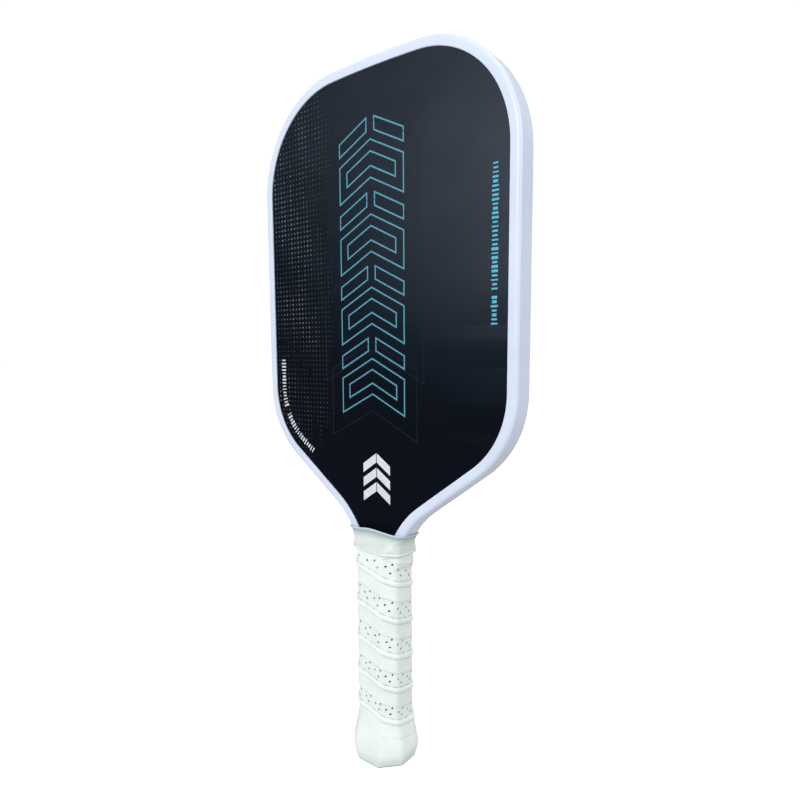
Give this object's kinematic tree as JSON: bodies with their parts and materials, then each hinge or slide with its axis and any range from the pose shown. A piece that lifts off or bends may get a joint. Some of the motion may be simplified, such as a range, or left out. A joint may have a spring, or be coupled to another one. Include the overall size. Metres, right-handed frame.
{
  "type": "pickleball paddle",
  "caption": "Elongated pickleball paddle with a dark laminated face over a honeycomb core, a pale moulded edge guard and a white wrapped handle.",
  "frame": {"origin": "centre of the flat end of the butt", "axes": "+Z along the handle and the head, +X across the face, front face towards -Y"},
  "size_m": [0.1906, 0.0358, 0.4191],
  "materials": {
    "polypropylene": "translucent off-white moulded cells",
    "rim_foam": "cast foam",
    "glass_ply": "resin-rich glass cloth",
    "carbon_face": "satin printed carbon laminate with a fine peel-ply texture",
    "guard_plastic": "satin moulded plastic, pale lavender white",
    "pallet_polymer": "moulded foam polymer",
    "cap_plastic": "moulded cream plastic",
    "cushion_felt": "needled felt backing",
    "grip_leather": "perforated, ribbed synthetic leather",
    "finishing_tape": "smooth vinyl tape",
    "collar_rubber": "soft cream rubber"
  },
  "bodies": {
    "root": {"honeycomb_core": "polypropylene", "perimeter_foam": "rim_foam", "front_glass_ply": "glass_ply", "rear_glass_ply": "glass_ply", "front_carbon_ply": "carbon_face", "rear_carbon_ply": "carbon_face", "edge_guard": "guard_plastic", "front_handle_pallet": "pallet_polymer", "rear_handle_pallet": "pallet_polymer", "butt_cap": "cap_plastic", "grip_cushion": "cushion_felt", "grip_skin": "grip_leather", "grip_finishing_tape": "finishing_tape", "grip_collar": "collar_rubber"}
  },
  "joints": []
}
